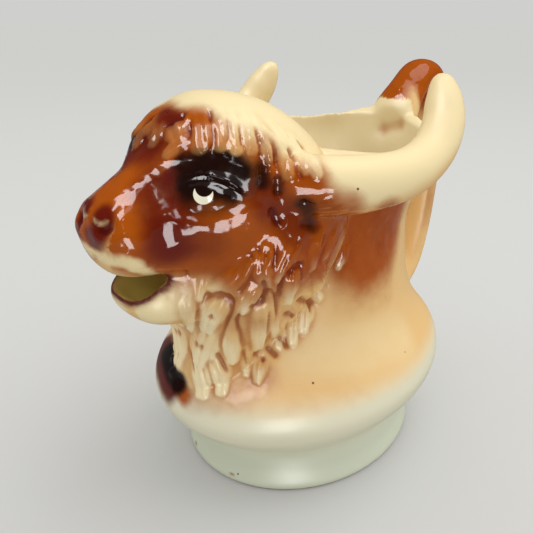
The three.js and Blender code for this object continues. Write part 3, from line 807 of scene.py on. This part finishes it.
class PITCHER_OT_glazing(bpy.types.Operator):
    """Glazes the casting"""
    bl_idname = "pitcher.glazing"
    bl_label = "Glazing"
    bl_options = {"REGISTER", "UNDO"}

    def execute(self, context):
        casting = bpy.data.objects["pitcher_casting"]
        glaze = context.scene.pitcher_glaze
        material = bpy.data.materials.new("glaze")
        material.use_nodes = True
        tree = material.node_tree
        shader = tree.nodes["Principled BSDF"]

        def node(kind, **settings):
            made = tree.nodes.new(kind)
            for key, value in settings.items():
                setattr(made, key, value)
            return made

        def put(socket, value):
            if isinstance(value, bpy.types.NodeSocket):
                tree.links.new(value, socket)
            else:
                socket.default_value = value

        def maths(work, a, b=0.0):
            made = node("ShaderNodeMath", operation=work)
            put(made.inputs[0], a)
            put(made.inputs[1], b)
            return made.outputs[0]

        def ramp(value, low, high, to_low=0.0, to_high=1.0):
            made = node("ShaderNodeMapRange", interpolation_type="SMOOTHSTEP")
            for socket, what in zip(made.inputs[:5], (value, low, high, to_low, to_high)):
                put(socket, what)
            return made.outputs[0]

        def over(share, below, above):
            made = node("ShaderNodeMix", data_type="RGBA")
            put(made.inputs[0], share)
            put(made.inputs[6], below if isinstance(below, bpy.types.NodeSocket) else (*below, 1))
            put(made.inputs[7], above if isinstance(above, bpy.types.NodeSocket) else (*above, 1))
            return made.outputs[2]

        def layer(name):
            return node("ShaderNodeAttribute", attribute_name=name).outputs["Fac"]

        place = node("ShaderNodeTexCoord").outputs["Object"]

        def noise(scale, detail=4.0):
            made = node("ShaderNodeTexNoise")
            put(made.inputs["Vector"], place)
            put(made.inputs["Scale"], scale)
            put(made.inputs["Detail"], detail)
            put(made.inputs["Roughness"], 0.55)
            return made.outputs["Fac"]

        axes = node("ShaderNodeSeparateXYZ")
        put(axes.inputs[0], place)
        x, y, z = axes.outputs
        cloud, mottle, ripple = noise(45, 3), noise(240), noise(260, 1)
        edge = maths("ADD", maths("MULTIPLY", maths("SUBTRACT", cloud, 0.5), 0.45),
                     maths("MULTIPLY", maths("SUBTRACT", mottle, 0.5), 0.3))

        def sprayed(name, low=0.1, high=0.95):
            return ramp(maths("ADD", layer(name), edge), low, high)

        def tinted(share, below, tint):
            made = node("ShaderNodeMix", data_type="RGBA", blend_type="MULTIPLY")
            put(made.inputs[0], share)
            put(made.inputs[6], below)
            put(made.inputs[7], (*tint, 1))
            return made.outputs[2]

        def both_sides():
            made = node("ShaderNodeCombineXYZ")
            for socket, value in zip(made.inputs, (x, maths("ABSOLUTE", y), z)):
                put(socket, value)
            return made.outputs[0]

        def disc(centre, radius, soft, where):
            far = node("ShaderNodeVectorMath", operation="DISTANCE")
            put(far.inputs[0], where)
            put(far.inputs[1], centre)
            return ramp(far.outputs["Value"], radius, radius - soft)

        slant = maths("ADD", z, maths("MULTIPLY", edge, 0.004))
        colour = over(ramp(slant, glaze.band - 0.0032, glaze.band + 0.0034), glaze.pale, glaze.tan)
        colour = over(ramp(slant, 0.006, 0.014), glaze.celadon, colour)
        colour = over(ramp(z, 0.0011, 0.0005), colour, glaze.clay)
        colour = over(layer("inner"), colour, glaze.cream)
        # The cream mask also holds a painted highlight on the near side of the body
        colour = over(ramp(maths("ADD", layer("cream"), maths("MULTIPLY", edge, 0.5)), 0.1, 0.9),
                      colour, glaze.cream)
        colour = over(sprayed("rust"), colour, glaze.rust)
        # The maroon and umber masks also hold painted shade: under the brow and on the belly beyond
        # the beard
        colour = over(sprayed("maroon"), colour, glaze.maroon)
        colour = over(sprayed("umber"), colour, glaze.umber)
        lock = ramp(maths("ADD", layer("fringe"), maths("MULTIPLY", edge, 0.5)), 0.1, 0.8)
        colour = over(maths("MULTIPLY", lock, ramp(layer("rust"), 1.3, 0.2)), colour,
                      over(ramp(layer("cream"), 0.2, 1.0), glaze.fringe, glaze.cream))
        colour = over(ramp(maths("ADD", layer("lip"), maths("MULTIPLY", edge, 1.5)), 0.15, 1.0),
                      colour, glaze.cream)
        hair = maths("ADD", maths("MULTIPLY", layer("pale"), 0.75),
                     maths("MULTIPLY", layer("tip"), ramp(z, 0.080, 0.055)))
        clear_of_umber = maths("SUBTRACT", 1.0, layer("umber"))
        hair = maths("MULTIPLY", hair, clear_of_umber)
        colour = over(ramp(maths("ADD", hair, maths("MULTIPLY", edge, 0.5)), 0.15, 1.3), colour,
                      glaze.beard)
        # Painted shade: the hollows between locks are darkened by how deep they lie
        hollow = maths("MULTIPLY", ramp(layer("crest"), 0.1, -0.9), clear_of_umber)
        colour = tinted(maths("MULTIPLY", hollow, 0.8), colour, HOLLOW_SHADE)
        pool = maths("MULTIPLY", ramp(layer("pool"), 0.15, 1.0), clear_of_umber)
        colour = tinted(maths("MULTIPLY", pool, 0.5), colour, POOL_TINT)
        eyes = both_sides()
        white, pupil = FOUND["eye"], FOUND["pupil"]
        colour = over(disc(*white, 0.0001, eyes), colour, glaze.eye)
        colour = over(disc(*pupil, 0.0001, eyes), colour, glaze.umber)
        colour = over(layer("mouth"), colour, glaze.olive)
        colour = over(layer("rim"), colour, glaze.maroon)
        for centre, size in FOUND["specks"]:
            colour = over(disc(centre, size, size * 0.6, place), colour, glaze.maroon)
        put(shader.inputs["Base Color"], colour)
        put(shader.inputs["Roughness"], ramp(layer("rust"), 0.1, 0.9, 0.4, 0.1))
        bump = node("ShaderNodeBump")
        put(bump.inputs["Strength"], ramp(layer("rust"), 0.0, 1.0, 0.05, 0.6))
        bump.inputs["Distance"].default_value = 0.001
        put(bump.inputs["Height"], ripple)
        put(shader.inputs["Normal"], bump.outputs["Normal"])
        casting.data.materials.clear()
        casting.data.materials.append(material)
        return {"FINISHED"}


# Soft boxes and bright cards: name, place in metres, width, height, watts. Only the first one
# lights the pitcher; the others are there for the glaze to mirror.
PANES = [("overhead", (0.1, -0.05, 0.8), 0.5, 0.5, 1.35),
         ("ceiling", (-0.246, 0.053, 0.542), 0.34, 0.24, 2.3),
         ("window", (-0.244, -0.233, 0.488), 0.06, 0.08, 0.10),
         ("pane", (-0.27, -0.384, 0.339), 0.06, 0.05, 0.07),
         ("card", (-0.136, -0.168, 0.044), 0.08, 0.09, 0.22)]
SKYLIGHT, AIM = (0.75, -0.45, 1.1), Vector((0, 0, 0.07))
DAYLIGHT = (1, 1, 0.985, 1)
# How much of the paper's tone the glaze mirrors
MIRRORED = 0.25


class PITCHER_OT_studio(bpy.types.Operator):
    """Sets the pitcher on pale paper under soft lights, with the camera in front"""
    bl_idname = "pitcher.studio"
    bl_label = "Studio"
    bl_options = {"REGISTER", "UNDO"}

    def execute(self, context):
        studio = context.scene.pitcher_studio
        select_only()
        bpy.ops.object.camera_add(location=EYE_POINT)
        camera = bpy.context.active_object
        camera.name = "camera"
        camera.rotation_mode = "QUATERNION"
        camera.rotation_quaternion = (-EYE_BACK).to_track_quat("-Z", "Y")
        camera.data.lens = studio.lens
        camera.data.sensor_width = SENSOR
        camera.data.clip_start = 0.005
        context.scene.camera = camera
        select_only()
        bpy.ops.mesh.primitive_circle_add(vertices=96, radius=60, fill_type="NGON")
        floor = bpy.context.active_object
        floor.name = "floor"
        paper = bpy.data.materials.new("paper")
        paper.use_nodes = True
        shader = paper.node_tree.nodes["Principled BSDF"]
        shader.inputs["Base Color"].default_value = (*studio.floor, 1)
        shader.inputs["Roughness"].default_value = 0.9
        shader.inputs["Specular IOR Level"].default_value = 0
        # The paper's emission is a painted glow that lightens the shade on it
        shader.inputs["Emission Color"].default_value = DAYLIGHT
        shader.inputs["Emission Strength"].default_value = studio.glow
        tree = paper.node_tree
        path = tree.nodes.new("ShaderNodeLightPath")
        tone = tree.nodes.new("ShaderNodeMix")
        tone.data_type = "RGBA"
        tone.inputs[6].default_value = (*studio.floor, 1)
        tone.inputs[7].default_value = (*(MIRRORED * v for v in studio.floor), 1)
        tree.links.new(path.outputs["Is Glossy Ray"], tone.inputs[0])
        tree.links.new(tone.outputs[2], shader.inputs["Base Color"])
        floor.data.materials.append(paper)

        def lamp(kind, name, place, watts):
            select_only()
            bpy.ops.object.light_add(type=kind, location=place)
            light = bpy.context.active_object
            light.name = name
            light.rotation_mode = "QUATERNION"
            light.rotation_quaternion = (AIM - light.location).to_track_quat("-Z", "Y")
            light.data.energy = watts
            return light

        sun = lamp("SUN", "skylight", SKYLIGHT, studio.sky)
        sun.data.angle = radians(60)
        sun.visible_glossy = False
        for name, place, width, height, watts in PANES:
            light = lamp("AREA", name, place, watts * studio.panes)
            light.data.shape = "RECTANGLE"
            light.data.size, light.data.size_y = width, height
            light.visible_diffuse = name == "overhead"
            light.visible_camera = False
        world = bpy.data.worlds.new("room")
        world.use_nodes = True
        tree = world.node_tree
        room = tree.nodes["Background"]
        room.inputs["Color"].default_value = DAYLIGHT
        path = tree.nodes.new("ShaderNodeLightPath")
        level = tree.nodes.new("ShaderNodeMix")
        level.inputs[2].default_value = studio.room
        level.inputs[3].default_value = studio.gloom
        tree.links.new(path.outputs["Is Glossy Ray"], level.inputs[0])
        seen = tree.nodes.new("ShaderNodeMix")
        seen.inputs[3].default_value = studio.horizon
        tree.links.new(path.outputs["Is Camera Ray"], seen.inputs[0])
        tree.links.new(level.outputs[0], seen.inputs[2])
        tree.links.new(seen.outputs[0], room.inputs["Strength"])
        context.scene.world = world
        context.scene.view_settings.view_transform = "Standard"
        return {"FINISHED"}


class PITCHER_PT_panel(bpy.types.Panel):
    """Lists the pitcher's steps and settings"""
    bl_label = "Pitcher"
    bl_idname = "PITCHER_PT_panel"
    bl_space_type = "VIEW_3D"
    bl_region_type = "UI"
    bl_category = "Pitcher"

    def draw(self, context):
        for group in ("pitcher_shape", "pitcher_glaze", "pitcher_studio"):
            box = self.layout.box()
            settings = getattr(context.scene, group)
            for name in settings.__annotations__:
                box.prop(settings, name)
        for step in STEPS:
            self.layout.operator(step.bl_idname)


STEPS = (PITCHER_OT_studio, PITCHER_OT_casting, PITCHER_OT_carving, PITCHER_OT_glazing)
GROUPS = {"pitcher_shape": PitcherShape, "pitcher_glaze": PitcherGlaze,
          "pitcher_studio": PitcherStudio}


def register():
    for one in (*GROUPS.values(), *STEPS, PITCHER_PT_panel):
        bpy.utils.register_class(one)
    for name, group in GROUPS.items():
        setattr(bpy.types.Scene, name, PointerProperty(type=group))


def unregister():
    for name in GROUPS:
        delattr(bpy.types.Scene, name)
    for one in (PITCHER_PT_panel, *reversed(STEPS), *reversed(list(GROUPS.values()))):
        bpy.utils.unregister_class(one)


def main():
    register()
    bpy.ops.pitcher.studio()
    bpy.ops.pitcher.casting()
    bpy.ops.pitcher.carving()
    bpy.ops.pitcher.glazing()


if __name__ == "__main__":
    main()
